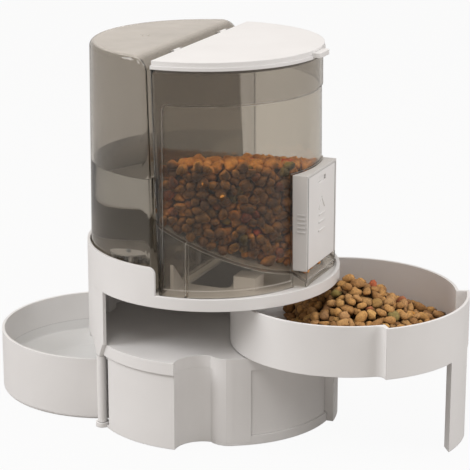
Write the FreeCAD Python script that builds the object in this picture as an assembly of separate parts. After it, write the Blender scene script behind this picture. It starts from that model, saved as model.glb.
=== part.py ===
import FreeCAD, Part
import math
import os

V = FreeCAD.Vector
UP = V(0, 0, 1)

# All lengths are millimetres and all angles degrees. The origin is on the table,
# on the axis of the deck ring, and the front of the object faces -Y. Two swing-out
# trays are built as they stand open: food to the right, water to the left.

# Base, shelf and deck
base_radius = 110.0            # deck ring, upper wall and right-hand lower wall
front_left_setback = 5.0       # lower front panel, left of the leg recess, behind the deck ring
front_right_setback = 10.5     # lower front, right of the recess, clear of the swinging leg
front_right_x = 8.0
front_right_y = 8.0
shelf_overhang = 2.0           # shelf band proud of the lower front panel
shell_wall = 2.6
foot_height = 1.0              # rubber pads proud of the base flange
foot_pad_radius = 3.0
foot_recess = 0.6
foot_insets = ((13.0, -137.0), (13.0, -116.0), (16.0, -45.0), (3.3, 24.0))  # from the edge, angle
flange_thickness = 2.0
shelf_top = 79.0
shelf_band = 11.0
shelf_plate = 2.5
deck_bottom = 127.0
deck_rim_height = 10.2
deck_plate_drop = 1.7          # deck plate below the rim's top
deck_plate = 2.5
ring_wall = 3.0
collar_top = 161.0
collar_wall = 2.5
collar_front_angle = 244.0
collar_rear_angle = 74.0
collar_corner = 6.0
upper_wall_start = 40.0
upper_wall_end = 211.3

# Plan angles of the lower front, from the left post round to the right wall's end
flange_left_angle = -157.0
panel_left_angle = -150.0
bulge_left_angle = -91.0
bulge_right_angle = -70.0
front_right_end = -18.4         # right-hand wall steps forward here
right_wall_end = 40.0
sill_height = 6.0
window_setback = 2.0           # sunk wall between the bulge and the step
window_wall = 2.4
step_angle = 1.5

# Leg recess in the lower front and the rounded nose at its right
recess_x = -9.0
recess_inset = 5.0             # recess centre behind the deck ring's edge
recess_radius = 24.0
nose_x = 14.0
nose_inset = 37.0
nose_radius = 18.5

# Direction in which the food outlet faces; the joint between tank and bin is square to it
outlet_angle = -23.0

# Food tray, swung out on the right
food_pivot_inset = 7.5         # pivot inside the deck ring's edge
food_pivot_angle = 35.0
food_swing = 71.0
food_tray_inset = 12.0         # tray's wall inside the deck ring's edge when folded
food_front_inset = 3.0         # proud front sector, flush with the shelf when folded
food_front_start = -74.5       # seen from the tray's own centre, tray swung out
food_front_end = 0.0
food_front_scoop = 7.0
food_tray_gap = 1.0            # above the shelf
food_tray_height = 43.5
food_leg_outer = (-36.0, -14.0)
food_leg_inner = (-31.0, -18.0)
food_leg_bulge = 4.0
food_boss_radius = 7.0
food_pin_radius = 2.5

# Water tray, swung out on the left
water_pivot_inset = 3.5
water_pivot_angle = -155.6
water_closed_x = 0.0           # tray's centre when folded
water_closed_y = 12.0
water_swing = 60.3
water_tray_inset = 12.0
water_tray_gap = 0.8           # above the table
water_rim = 57.0
water_barrel_radius = 4.2
water_web = 5.0
water_web_rise = 5.0           # web's lower edge above the tray's underside
water_pin_radius = 2.0
water_boss_flare = 5.9         # shelf's boss over the barrel widens upwards by this
water_boss_drop = 1.4          # and starts this far below the shelf band
water_boss_rise = 11.0
swing_clearance = 1.0          # closed water tray to the base
socket_height = 4.0
socket_wall = 1.8

tray_wall = 2.5
tray_floor = 2.5
tray_edge = 3.0
pin_clearance = 0.06           # radial, in each swinging barrel
end_gap = 0.4                  # above and below each swinging barrel

# Tank and bin: two pieces of one slightly tapered round tower
tower_x = -5.8
tower_y = -0.8
tower_inset_low = 9.2          # tower's wall inside the deck ring's edge, at its foot
tower_inset_high = 11.0        # and at the bin's top
bin_split_low = -7.0           # plane of the bin's flat wall, along the outlet direction
bin_split_high = -13.3
split_gap = 3.0                # between the bin's flat wall and the tank's
tank_top = 335.0
tank_wall = 2.2
tank_shoulder = 14.0           # rolled edge beside the lid
tank_corner = 5.0
vent_spread = 5.1
vent_n = -58.0
vent_s = -11.5
vent_radius = 1.3
vent_depth = 0.7
bin_top = 326.0
bin_wall = 2.6
bin_corner = 6.5
bin_floor_rise = 193.5         # height of the sloping floor on the tower's axis
bin_floor_slope = 0.505
bin_floor = 2.4
bin_ledge = 3.0                # under the lid's straight edge
bin_rib = 1.4                  # upright rib inside the skirt
panel_depth = 1.0              # shallow sunk panel on the bin's round wall
panel_slope = 1.6              # height of its sloping upper border
panel_top = 298.0
panel_low = 142.0
panel_left = -1.0
panel_corner = 7.0
mouth_top = 190.0
mouth_depth = 36.0             # outlet passage starts this far behind the tower's front

# Outlet frame and gate
frame_proud = 5.7              # gate's face beyond the tower's wall at its foot
frame_left = -39.0
frame_right = 30.0
frame_bottom = 151.0
frame_top = 233.0
frame_border = 2.2             # visible border beside the gate
frame_track_wall = 1.0         # wall left beside the gate's tongue
frame_bar = 2.2                # across the top
spout_wall = 2.0
gate_thickness = 2.2
gate_tongue = 1.8
gate_clearance = 0.3
gate_travel = 7.5
notch_width = 17.0
notch_depth = 4.0
grip_ribs = 5
grip_low = 184.0
grip_pitch = 3.7
grip_thick = 1.4
grip_proud = 0.8

# Lid and its hinge
lid_thickness = 7.0
lid_plate = 4.0
lid_overhang = 2.0
lid_step = 0.9
lid_tab_half = 12.0
lid_tab_proud = 5.7            # tab's edge beyond the tower's wall at its foot
lid_tab_depth = 16.0
lid_rim_depth = 3.0            # locating rim inside the bin
lid_rim_wall = 1.8
lid_fit = 0.5
hinge_n = -12.6
hinge_lift = 5.0
knuckle_radius = 1.9
knuckle_pin_radius = 1.0
knuckle_place = 48.0
knuckle_half = 6.0
knuckle_gap = 0.3
ear_length = 4.0

# Tank outlet, valve and water duct
cap_n = -58.0
neck_radius = 15.0
neck_wall = 2.5
cap_radius = 18.0
cap_floor = 2.0
cap_ribs = 24
cap_rib_radius = 0.5
cap_hole_radius = 5.0
cap_drop = 1.0                 # cap above the well's floor
cap_fit = 0.1                  # cap's bore round the neck
cap_rim_drop = 0.4             # cap's rim below the tank's floor
gasket_thickness = 1.0
cage_radius = 10.5
cage_post_radius = 1.5
cage_height = 14.0
cage_plate = 1.6
valve_lift = 1.8               # held open by the deck's pin
valve_disc_radius = 6.5
valve_disc = 1.5
valve_seal = 1.0
valve_stem_radius = 1.8
valve_spindle_radius = 1.2
guide_clearance = 0.1
spring_radius = 3.0
spring_wire = 0.35
spring_turns = 6
well_radius = 21.0
well_floor_top = 127.5
well_wall = 2.0
deck_pin_radius = 1.8
deck_pin_height = 2.0
duct_inset = 6.4
duct_half = 5.0
duct_depth = 5.5
duct_wall = 1.5
duct_bottom = 62.0
duct_fit = 0.1                 # shelf's slot round the duct

# Screws, and the bosses that take them
screw_radius = 1.4
screw_head_radius = 2.6
screw_head = 2.0
screw_slot = 0.8
screw_hole_fit = 0.1
screw_head_fit = 0.2
boss_radius = 3.5
base_boss_extra = 0.4
upper_boss_inset = 6.0
upper_boss_angles = (70.0, 112.0, 174.0)
base_boss_inset = 14.0
base_boss_angles = (-148.0, -124.0)
post_boss_inset = 7.0
post_boss_angle = -12.0
screw_bite = 13.0
base_screw_depth = 8.0         # screw heads this far below the shelf band

# Deck opening and locating blocks inside the bin's skirt
deck_window = (2.0, 40.0, -62.0, 62.0)
deck_window_corner = 8.0
deck_block_length = 20.0
deck_block_width = 18.0
deck_block_inset = (34.2, 38.2)  # from the skirt's reach, along the outlet and across it
deck_block_height = 11.0
deck_rib_n = -3.0
deck_rib_thick = 3.0
deck_rib_length = 22.0
deck_rib_inset = 14.2
deck_rib_height = 22.0

# Worked-out heights and places
flange_top = foot_height + flange_thickness
shelf_bottom = shelf_top - shelf_band
rim_top = deck_bottom + deck_rim_height
deck_top = rim_top - deck_plate_drop
deck_under = deck_top - deck_plate
far = 2 * base_radius
front_left_radius = base_radius - front_left_setback
front_right_radius = base_radius - front_right_setback
recess_y = -(base_radius - recess_inset)
nose_y = -(base_radius - nose_inset)
food_tray_radius = base_radius - food_tray_inset
food_front_radius = base_radius - food_front_inset
water_tray_radius = base_radius - water_tray_inset
tower_radius_low = base_radius - tower_inset_low
tower_radius_high = base_radius - tower_inset_high


def outlet_side(x, y):
    """Distance along the outlet direction."""
    a = math.radians(outlet_angle)
    return x * math.cos(a) + y * math.sin(a)


def on_circle(radius, angle):
    return radius * math.cos(math.radians(angle)), radius * math.sin(math.radians(angle))


def turned_about(x, y, angle):
    """Where the origin lands when it turns about a point."""
    c = math.cos(math.radians(angle))
    s = math.sin(math.radians(angle))
    return x - (x * c - y * s), y - (x * s + y * c)


food_pivot_x, food_pivot_y = on_circle(base_radius - food_pivot_inset, food_pivot_angle)
food_centre_x, food_centre_y = turned_about(food_pivot_x, food_pivot_y, food_swing)
water_pivot_x, water_pivot_y = on_circle(base_radius - water_pivot_inset, water_pivot_angle)
water_arm = math.hypot(water_closed_x - water_pivot_x, water_closed_y - water_pivot_y)
water_closed_angle = math.degrees(math.atan2(water_closed_y - water_pivot_y, water_closed_x - water_pivot_x))
tower_front = outlet_side(tower_x, tower_y) + tower_radius_low
frame_face = tower_front + frame_proud
duct_n = -(base_radius - duct_inset)
skirt_reach = tower_radius_low - bin_wall
mouth_root = tower_front - mouth_depth
food_low = shelf_top + food_tray_gap
food_rim = food_low + food_tray_height
water_low = water_tray_gap
socket_top = foot_height + socket_height
tank_split_low = bin_split_low - split_gap
tank_split_high = bin_split_high - split_gap
hinge_z = bin_top + hinge_lift
lid_edge_n = hinge_n + knuckle_radius + 0.4
cap_low = well_floor_top + cap_drop
cap_floor_top = cap_low + cap_floor
neck_low = cap_floor_top + gasket_thickness
cap_high = deck_top - cap_rim_drop
water_boss_low = shelf_bottom - water_boss_drop
base_head_seat = shelf_bottom - base_screw_depth
disc_low = cap_floor_top + valve_lift + valve_seal
stem_low = well_floor_top + deck_pin_height
cage_top = cap_floor_top + cage_height
spout_low = rim_top + 0.3
gate_front = frame_face
gate_back = frame_face - gate_thickness
gate_bottom = frame_bottom + 0.5
gate_top = frame_top - frame_bar - gate_clearance


def disc(x, y, radius, low, high):
    return Part.makeCylinder(radius, high - low, V(x, y, low))


def slice_of(x, y, radius, start, end, low, high):
    """Pie slice of a disc between two angles."""
    piece = Part.makeCylinder(radius, high - low, V(x, y, low), UP, end - start)
    piece.rotate(V(x, y, 0), UP, start)
    return piece


def arc_wall(x, y, outer, inner, start, end, low, high):
    return slice_of(x, y, outer, start, end, low, high).cut(disc(x, y, inner, low, high))


def polar(x, y, radius, angle):
    a = math.radians(angle)
    return V(x + radius * math.cos(a), y + radius * math.sin(a), 0)


def turned(shape):
    """From outlet axes (first axis along the outlet direction) to the part's own axes."""
    shape.rotate(V(0, 0, 0), UP, outlet_angle)
    return shape


def outlet_box(n_low, n_high, s_low, s_high, low, high):
    return turned(Part.makeBox(n_high - n_low, s_high - s_low, high - low, V(n_low, s_low, low)))


def outlet_point(n, s):
    a = math.radians(outlet_angle)
    return V(n * math.cos(a) - s * math.sin(a), n * math.sin(a) + s * math.cos(a), 0)


def outlet_rod(radius, n, z, s_low, s_high):
    """Round bar across the outlet direction."""
    return turned(Part.makeCylinder(radius, s_high - s_low, V(n, s_low, z), V(0, 1, 0)))


def side_profile(edges, s_low, s_high):
    """Prism across the outlet direction from edges drawn in its n-z plane."""
    solid = Part.Face(Part.Wire(edges)).extrude(V(0, s_high - s_low, 0))
    solid.translate(V(0, s_low, 0))
    return turned(solid)


def line(a, b):
    return Part.LineSegment(a, b).toShape()


def poly_edges(points):
    ring = [V(n, 0, z) for n, z in points]
    return [line(a, b) for a, b in zip(ring, ring[1:] + ring[:1])]


def prism(points, low, high):
    """Upright prism from plan points."""
    ring = [V(p.x, p.y, low) for p in points]
    edges = [line(a, b) for a, b in zip(ring, ring[1:] + ring[:1])]
    return Part.Face(Part.Wire(edges)).extrude(V(0, 0, high - low))


def united(first, others):
    return first.fuse(others).removeSplitter()


def tower_radius(z):
    rise = (z - deck_top) / (bin_top - deck_top)
    return tower_radius_low + (tower_radius_high - tower_radius_low) * rise


def tower_cone(inset, low, high):
    """The tower's round wall between two heights, moved in by an inset."""
    return Part.makeCone(tower_radius(low) - inset, tower_radius(high) - inset, high - low,
                         V(tower_x, tower_y, low))


def split_at(z, low_value, high_value):
    return low_value + (high_value - low_value) * (z - deck_top) / (bin_top - deck_top)


def edges_where(shape, test):
    return [e for e in shape.Edges if len(e.Vertexes) == 2 and test(e)]


def edges_at(shape, z):
    return [e for e in shape.Edges if abs(e.BoundBox.ZMin - z) < 0.01 and abs(e.BoundBox.ZMax - z) < 0.01]


def upright_near(shape, place, reach, low, high):
    """Upright edges that pass within reach of a plan point."""
    def test(edge):
        box = edge.BoundBox
        centre = V((box.XMin + box.XMax) / 2, (box.YMin + box.YMax) / 2, 0)
        return box.ZMin < low + 1 and box.ZMax > high - 1 and centre.distanceToPoint(place) < reach
    return edges_where(shape, test)


def body_prism(low, high, inset, left_radius):
    """Plan of the lower body: three arcs, the leg's recess and the nose beside it."""
    left = slice_of(0, 0, left_radius - inset, 180, 360 + bulge_left_angle - 6, low, high)
    right = slice_of(0, 0, base_radius - inset, front_right_end, 180, low, high)
    arc = disc(front_right_x, front_right_y, front_right_radius - inset, low, high)
    front = arc.common(slice_of(0, 0, far, bulge_left_angle - 6, front_right_end, low, high))
    recess = disc(recess_x, recess_y, recess_radius + inset, low - 1, high + 1)
    nose = disc(nose_x, nose_y, nose_radius - inset, low, high)
    return united(united(left, [right, front]).cut(recess), [nose])


def body_wall(low, high, left_radius):
    return body_prism(low, high, 0, left_radius).cut(body_prism(low, high, shell_wall, left_radius))


def sunk_wall(low, high):
    """Wall set back a little above the sill."""
    outside = body_prism(low, high, window_setback, front_left_radius)
    inside = body_prism(low, high, window_setback + window_wall, front_left_radius)
    return outside.cut(inside).common(slice_of(0, 0, far, bulge_right_angle, front_right_end, low, high))


def step_wall(low, high):
    """Radial wall that closes the step between the front and the right-hand wall."""
    return arc_wall(0, 0, base_radius, front_right_radius, front_right_end, front_right_end + step_angle, low, high)


def foot_places():
    return [polar(0, 0, base_radius - inset, angle) for inset, angle in foot_insets]


def base_boss_places():
    return [polar(0, 0, base_radius - base_boss_inset, a) for a in base_boss_angles] + [
        polar(0, 0, base_radius - post_boss_inset, post_boss_angle)]


def upper_boss_places():
    return [polar(0, 0, base_radius - upper_boss_inset, a) for a in upper_boss_angles]


def screw(place, head_z, up):
    """Plain screw body: head, then a shank that runs up or down from it."""
    head_low = head_z - screw_head if up else head_z
    shank_low = head_z if up else head_z - screw_bite
    head = disc(place.x, place.y, screw_head_radius, head_low, head_low + screw_head)
    slot_low = head_low if up else head_low + screw_head - screw_slot
    slot = Part.makeBox(2 * screw_head_radius, screw_slot, screw_slot,
                        V(place.x - screw_head_radius, place.y - screw_slot / 2, slot_low))
    return head.cut(slot).fuse(disc(place.x, place.y, screw_radius, shank_low, shank_low + screw_bite))


def closed_water_plan(radius, low, high):
    """Room that the folded water tray takes in the base, with its dent round the leg's recess."""
    dent = recess_radius + shell_wall + (water_tray_radius + swing_clearance - radius)
    return disc(water_closed_x, water_closed_y, radius, low, high).cut(
        disc(recess_x, recess_y, dent, low - 1, high + 1))


def make_base_shell():
    room = closed_water_plan(water_tray_radius + swing_clearance, 0, shelf_bottom)
    sector = slice_of(0, 0, far, flange_left_angle, right_wall_end, foot_height, flange_top)
    flange = body_prism(foot_height, flange_top, 0, front_left_radius).common(sector).cut(room)
    wall = body_wall(flange_top, shelf_bottom, front_left_radius)
    left = wall.common(slice_of(0, 0, far, panel_left_angle, bulge_left_angle, flange_top, shelf_bottom))
    right = wall.common(slice_of(0, 0, far, front_right_end, right_wall_end, flange_top, shelf_bottom))
    sill = wall.common(slice_of(0, 0, far, bulge_right_angle, front_right_end,
                                flange_top, flange_top + sill_height))
    window = sunk_wall(flange_top, shelf_bottom)
    step = step_wall(flange_top, shelf_bottom)
    socket = disc(water_pivot_x, water_pivot_y, water_barrel_radius + socket_wall, foot_height, socket_top)
    bosses = [disc(p.x, p.y, boss_radius + base_boss_extra, foot_height, shelf_bottom)
              for p in base_boss_places()]
    pads = [disc(p.x, p.y, foot_pad_radius + 1.0, foot_height, flange_top) for p in foot_places()]
    shell = united(flange, [left, right, sill, window, step, socket] + bosses + pads).cut(room)
    shell = shell.cut(disc(water_pivot_x, water_pivot_y, water_pin_radius, foot_height + 1, shelf_bottom))
    for p in base_boss_places():
        shell = shell.cut(disc(p.x, p.y, screw_head_radius + screw_head_fit, 0, base_head_seat))
        shell = shell.cut(disc(p.x, p.y, screw_radius + screw_hole_fit, base_head_seat, shelf_bottom))
    for p in foot_places():
        shell = shell.cut(disc(p.x, p.y, foot_pad_radius, foot_height, foot_height + foot_recess))
    return shell


def make_feet():
    pads = []
    for p in foot_places():
        pad = disc(p.x, p.y, foot_pad_radius, 0, foot_height + foot_recess)
        pads.append(pad.makeFillet(0.4, edges_at(pad, 0)))
    return Part.makeCompound(pads)


def make_base_screws():
    return Part.makeCompound([screw(p, base_head_seat, True) for p in base_boss_places()])


def make_shelf():
    left = front_left_radius + shelf_overhang
    plate = body_prism(shelf_top - shelf_plate, shelf_top, 0, left)
    band = body_wall(shelf_bottom, shelf_top - shelf_plate, left)
    bulge = body_wall(flange_top, shelf_bottom, left).common(
        slice_of(0, 0, far, bulge_left_angle, bulge_right_angle, flange_top, shelf_bottom))
    narrow = water_barrel_radius + 0.6
    water_boss = Part.makeCone(narrow, narrow + water_boss_flare, water_boss_rise,
                               V(water_pivot_x, water_pivot_y, water_boss_low))
    stem = disc(water_pivot_x, water_pivot_y, narrow + water_boss_flare,
                water_boss_low + water_boss_rise, shelf_top)
    outside = disc(0, 0, base_radius, 0, shelf_top)
    water_boss = water_boss.fuse(stem).common(outside)
    food_boss = disc(food_pivot_x, food_pivot_y, food_boss_radius, shelf_bottom, shelf_top)
    bosses = [disc(p.x, p.y, boss_radius + base_boss_extra, shelf_bottom, shelf_top)
              for p in base_boss_places()]
    step = step_wall(shelf_bottom, shelf_top - shelf_plate / 2)
    shelf = united(plate, [band, bulge, step, water_boss, food_boss] + bosses)
    shelf = shelf.cut(disc(water_pivot_x, water_pivot_y, water_pin_radius, 0, shelf_top - 3))
    shelf = shelf.cut(disc(food_pivot_x, food_pivot_y, food_pin_radius, shelf_bottom + 2, shelf_top + 1))
    for p in base_boss_places():
        shelf = shelf.cut(disc(p.x, p.y, screw_radius, shelf_bottom, base_head_seat + screw_bite))
    for p in upper_boss_places():
        shelf = shelf.cut(disc(p.x, p.y, screw_radius + screw_hole_fit, shelf_bottom, shelf_top + 1))
    tube = duct_tube(shelf_bottom - 1, shelf_top + 1, duct_fit)
    return shelf.cut(tube)


def make_shelf_screws():
    return Part.makeCompound([screw(p, shelf_top - shelf_plate, True) for p in upper_boss_places()])


def duct_tube(low, high, margin):
    side = duct_half + duct_wall + margin
    tube = outlet_box(duct_n - duct_half - margin, duct_n + duct_half - 1.0 + margin, -side, side, low, high)
    return tube.common(disc(0, 0, base_radius - 0.2, low, high)) if margin == 0 else tube


def duct_bore(low, high):
    return outlet_box(duct_n - duct_depth / 2, duct_n + duct_depth / 2, -duct_half, duct_half, low, high)


def make_upper_wall():
    wall = arc_wall(0, 0, base_radius, base_radius - ring_wall, upper_wall_start, upper_wall_end,
                    shelf_top, deck_bottom)
    bosses = [disc(p.x, p.y, boss_radius, shelf_top, deck_bottom) for p in upper_boss_places()]
    wall = united(wall, [duct_tube(duct_bottom, well_floor_top - well_wall, 0)] + bosses)
    for p in upper_boss_places():
        wall = wall.cut(disc(p.x, p.y, screw_radius, shelf_top, shelf_top + screw_bite - shelf_plate))
        wall = wall.cut(disc(p.x, p.y, screw_radius, deck_top - screw_head - screw_bite, deck_bottom))
    return wall.cut(duct_bore(duct_bottom - 1, deck_bottom + 1))


def make_deck():
    ring = disc(0, 0, base_radius, deck_bottom, rim_top).cut(
        disc(0, 0, base_radius - ring_wall, deck_bottom, rim_top))
    plate = disc(0, 0, base_radius - ring_wall + 0.5, deck_under, deck_top)
    collar = arc_wall(0, 0, base_radius, base_radius - collar_wall, collar_rear_angle, collar_front_angle,
                      deck_under, collar_top)
    ends = edges_where(collar, lambda e: abs(e.CenterOfMass.z - collar_top) < 0.01
                       and e.Length < collar_wall + 0.2)
    collar = collar.makeFillet(collar_corner, ends)
    centre = outlet_point(cap_n, 0)
    well_low = well_floor_top - well_wall
    well = disc(centre.x, centre.y, well_radius + well_wall, well_low, deck_under)
    trough = outlet_box(duct_n - duct_depth / 2 - 0.8, cap_n, -duct_half - well_wall, duct_half + well_wall,
                        well_low, deck_under)
    trough = trough.common(disc(0, 0, base_radius - ring_wall, 0, deck_top))
    food_boss = disc(food_pivot_x, food_pivot_y, food_boss_radius, food_rim + end_gap, deck_under)
    bosses = [disc(p.x, p.y, boss_radius, deck_bottom, deck_under) for p in upper_boss_places()]
    window = outlet_box(*deck_window, 0, collar_top)
    window = window.makeFillet(deck_window_corner, edges_where(window, lambda e: e.Length > collar_top - 1))
    block_n = skirt_reach - deck_block_inset[0]
    block_s = -(skirt_reach - deck_block_inset[1])
    block = outlet_box(block_n - deck_block_length, block_n, block_s, block_s + deck_block_width,
                       deck_under, deck_top + deck_block_height)
    rib_s = -(skirt_reach - deck_rib_inset)
    rib_points = [(rib_s, deck_under), (rib_s + deck_rib_length, deck_under),
                  (rib_s + deck_rib_length, deck_top), (rib_s, deck_top + deck_rib_height)]
    ring_points = [V(deck_rib_n, s, z) for s, z in rib_points]
    rib_edges = [line(a, b) for a, b in zip(ring_points, ring_points[1:] + ring_points[:1])]
    rib = turned(Part.Face(Part.Wire(rib_edges)).extrude(V(deck_rib_thick, 0, 0)))
    deck = united(ring, [plate.cut(window), collar, well, trough, food_boss, block, rib] + bosses)
    deck = deck.cut(disc(centre.x, centre.y, well_radius, well_floor_top, deck_top + 1))
    deck = deck.cut(outlet_box(duct_n - duct_depth / 2, cap_n, -duct_half, duct_half,
                               well_floor_top, deck_under))
    deck = deck.cut(duct_bore(0, well_floor_top + 1))
    deck = deck.cut(disc(food_pivot_x, food_pivot_y, food_pin_radius, 0, deck_top - 2))
    for p in upper_boss_places():
        deck = deck.cut(disc(p.x, p.y, screw_radius + screw_hole_fit, 0, deck_top))
        deck = deck.cut(disc(p.x, p.y, screw_head_radius + screw_head_fit, deck_top - screw_head, collar_top))
    pin = disc(centre.x, centre.y, deck_pin_radius, well_floor_top - 1, well_floor_top + deck_pin_height)
    return united(deck, [pin])


def make_deck_screws():
    return Part.makeCompound([screw(p, deck_top - screw_head, False) for p in upper_boss_places()])


def make_water_tray():
    x, y = water_closed_x, water_closed_y
    def plan(inset, low, high):
        return closed_water_plan(water_tray_radius - inset, low, high)
    outer = plan(0, water_low, water_rim)
    outer = outer.makeFillet(tray_edge, edges_at(outer, water_low))
    inner = plan(tray_wall, water_low + tray_floor, water_rim + 1)
    inner = inner.makeFillet(tray_edge, edges_at(inner, water_low + tray_floor))
    barrel = disc(water_pivot_x, water_pivot_y, water_barrel_radius, socket_top + end_gap,
                  water_boss_low - end_gap)
    web_low = water_low + water_web_rise
    web = Part.makeBox(water_arm - water_tray_radius + tray_wall / 2, water_web, water_rim - web_low,
                       V(0, -water_web / 2, web_low))
    web.rotate(V(0, 0, 0), UP, water_closed_angle)
    web.translate(V(water_pivot_x, water_pivot_y, 0))
    tray = united(outer, [barrel, web]).cut(inner)
    tray = tray.cut(disc(water_pivot_x, water_pivot_y, water_pin_radius + pin_clearance, 0, shelf_bottom))
    tray.rotate(V(water_pivot_x, water_pivot_y, 0), UP, water_swing)
    return tray


def make_water_pin():
    return disc(water_pivot_x, water_pivot_y, water_pin_radius, foot_height + 1, shelf_top - 3.5)


def make_food_tray():
    x, y = food_centre_x, food_centre_y
    cup = disc(x, y, food_tray_radius, food_low, food_rim)
    front = slice_of(x, y, food_front_radius, food_front_start, food_front_end, food_low, food_rim)
    boss = disc(food_pivot_x, food_pivot_y, food_boss_radius, food_low, food_rim)
    body = united(cup, [front])
    scoop_place = polar(x, y, food_tray_radius, food_front_start)
    body = body.makeFillet(food_front_scoop, upright_near(body, scoop_place, 1.0, food_low, food_rim))
    low = food_low + tray_floor
    hollow = disc(x, y, food_tray_radius - tray_wall, low, food_rim + 1)
    side = math.degrees(tray_wall / food_tray_radius)
    hollow_front = slice_of(x, y, food_front_radius - tray_wall, food_front_start + side,
                            food_front_end - side, low, food_rim + 1)
    hollow = united(hollow, [hollow_front])
    leg_middle = (food_leg_outer[0] + food_leg_outer[1]) / 2
    leg_points = [polar(x, y, food_front_radius, food_leg_outer[0]),
                  polar(x, y, food_front_radius + food_leg_bulge, leg_middle),
                  polar(x, y, food_front_radius, food_leg_outer[1]),
                  polar(x, y, food_tray_radius, food_leg_inner[1]),
                  polar(x, y, food_tray_radius, food_leg_inner[0])]
    top = food_low + tray_floor / 2
    leg = prism(leg_points, 0, top).common(disc(x, y, food_front_radius, 0, top))
    turn = tray_wall / food_tray_radius
    wide = math.degrees(1.9 * turn)
    slim = math.degrees(0.9 * turn)
    room_points = [polar(x, y, food_front_radius - tray_wall, food_leg_outer[0] + wide),
                   polar(x, y, food_front_radius - tray_wall, food_leg_outer[1] - wide),
                   polar(x, y, food_tray_radius - 3, food_leg_inner[1] - slim),
                   polar(x, y, food_tray_radius - 3, food_leg_inner[0] + slim)]
    leg = leg.cut(prism(room_points, tray_wall, food_low))
    tray = united(body, [boss, leg]).cut(hollow.cut(boss))
    return tray.cut(disc(food_pivot_x, food_pivot_y, food_pin_radius + pin_clearance, 0, food_rim + 1))


def make_food_pin():
    return disc(food_pivot_x, food_pivot_y, food_pin_radius, shelf_bottom + 2, deck_top - 2.5)


def tank_profile(inset, low, high):
    n_low = split_at(low, tank_split_low, tank_split_high) - inset
    roll = tank_shoulder - inset
    n_high = split_at(high - roll, tank_split_low, tank_split_high) - inset
    a, b = V(n_low, 0, low), V(n_high, 0, high - roll)
    mid = V(n_high - roll + roll * math.cos(math.radians(45)), 0,
            high - roll + roll * math.sin(math.radians(45)))
    c, d, e = V(n_high - roll, 0, high), V(-far, 0, high), V(-far, 0, low)
    return side_profile([line(a, b), Part.Arc(b, mid, c).toShape(), line(c, d), line(d, e), line(e, a)],
                        -far, far)


def rounded_tank(inset, low, high, corner):
    block = tower_cone(inset, low, high).common(tank_profile(inset, low, high))
    uprights = edges_where(block, lambda e: e.BoundBox.ZLength > (high - low) / 2
                           and abs(outlet_side(e.CenterOfMass.x, e.CenterOfMass.y)) < far / 4)
    return block.makeFillet(corner, uprights)


def make_water_tank():
    outer = rounded_tank(0, deck_top, tank_top, tank_corner)
    inner = rounded_tank(tank_wall, deck_top + tank_wall, tank_top - tank_wall, tank_corner - tank_wall)
    centre = outlet_point(cap_n, 0)
    neck = disc(centre.x, centre.y, neck_radius, neck_low, deck_top + tank_wall)
    tank = united(outer, [neck]).cut(inner)
    tank = tank.cut(disc(centre.x, centre.y, neck_radius - neck_wall, neck_low, deck_top + 2 * tank_wall))
    for side in (-0.5, 0.5):
        a = outlet_point(vent_n, vent_s)
        tank = tank.cut(disc(a.x + side * vent_spread, a.y, vent_radius, tank_top - vent_depth, tank_top))
    return tank


def make_tank_cap():
    centre = outlet_point(cap_n, 0)
    cap = disc(centre.x, centre.y, cap_radius, cap_low, cap_high)
    grips = [disc(p.x, p.y, cap_rib_radius, cap_low, cap_high) for p in
             (polar(centre.x, centre.y, cap_radius, 360 * k / cap_ribs) for k in range(cap_ribs))]
    cap = cap.fuse(grips).cut(disc(centre.x, centre.y, neck_radius + cap_fit, cap_floor_top, cap_high + 1))
    cap = cap.cut(disc(centre.x, centre.y, cap_hole_radius, cap_low, cap_floor_top))
    posts = [disc(p.x, p.y, cage_post_radius, cap_floor_top - 0.5, cage_top) for p in
             (polar(centre.x, centre.y, cage_radius - cage_post_radius - 0.3, 120 * k + 30) for k in range(3))]
    bridge = disc(centre.x, centre.y, cage_radius, cage_top - cage_plate, cage_top)
    cap = united(cap, posts + [bridge])
    return cap.cut(disc(centre.x, centre.y, valve_spindle_radius + guide_clearance,
                        cage_top - 2 * cage_plate, cage_top + 1))


def make_cap_gasket():
    centre = outlet_point(cap_n, 0)
    ring = disc(centre.x, centre.y, neck_radius - 0.2, cap_floor_top, neck_low)
    return ring.cut(disc(centre.x, centre.y, neck_radius - neck_wall, cap_floor_top, neck_low))


def make_valve_plunger():
    centre = outlet_point(cap_n, 0)
    stem = disc(centre.x, centre.y, valve_stem_radius, stem_low, disc_low)
    head = disc(centre.x, centre.y, valve_disc_radius, disc_low, disc_low + valve_disc)
    spindle = disc(centre.x, centre.y, valve_spindle_radius, disc_low + valve_disc, cage_top + 2.5)
    return united(head, [stem, spindle])


def make_valve_seal():
    centre = outlet_point(cap_n, 0)
    ring = disc(centre.x, centre.y, valve_disc_radius, disc_low - valve_seal, disc_low)
    return ring.cut(disc(centre.x, centre.y, valve_stem_radius, disc_low - valve_seal, disc_low))


def make_valve_spring():
    centre = outlet_point(cap_n, 0)
    low = disc_low + valve_disc + spring_wire
    high = cage_top - cage_plate - spring_wire
    path = Part.makeHelix((high - low) / spring_turns, high - low, spring_radius)
    section = Part.Wire(Part.makeCircle(spring_wire, V(spring_radius, 0, 0), V(0, 1, 0)))
    coil = Part.Wire(path).makePipeShell([section], True, True)
    coil.translate(V(centre.x, centre.y, low))
    return coil


def bin_profile(inset, low, high):
    points = [(split_at(low, bin_split_low, bin_split_high) + inset, low), (far, low), (far, high),
              (split_at(high, bin_split_low, bin_split_high) + inset, high)]
    return side_profile(poly_edges(points), -far, far)


def floor_z(n):
    return bin_floor_rise - bin_floor_slope * n


def above_floor(drop):
    return side_profile(poly_edges([(-far, floor_z(-far) - drop), (far, floor_z(far) - drop),
                                    (far, 3 * bin_top), (-far, 3 * bin_top)]), -far, far)


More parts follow.
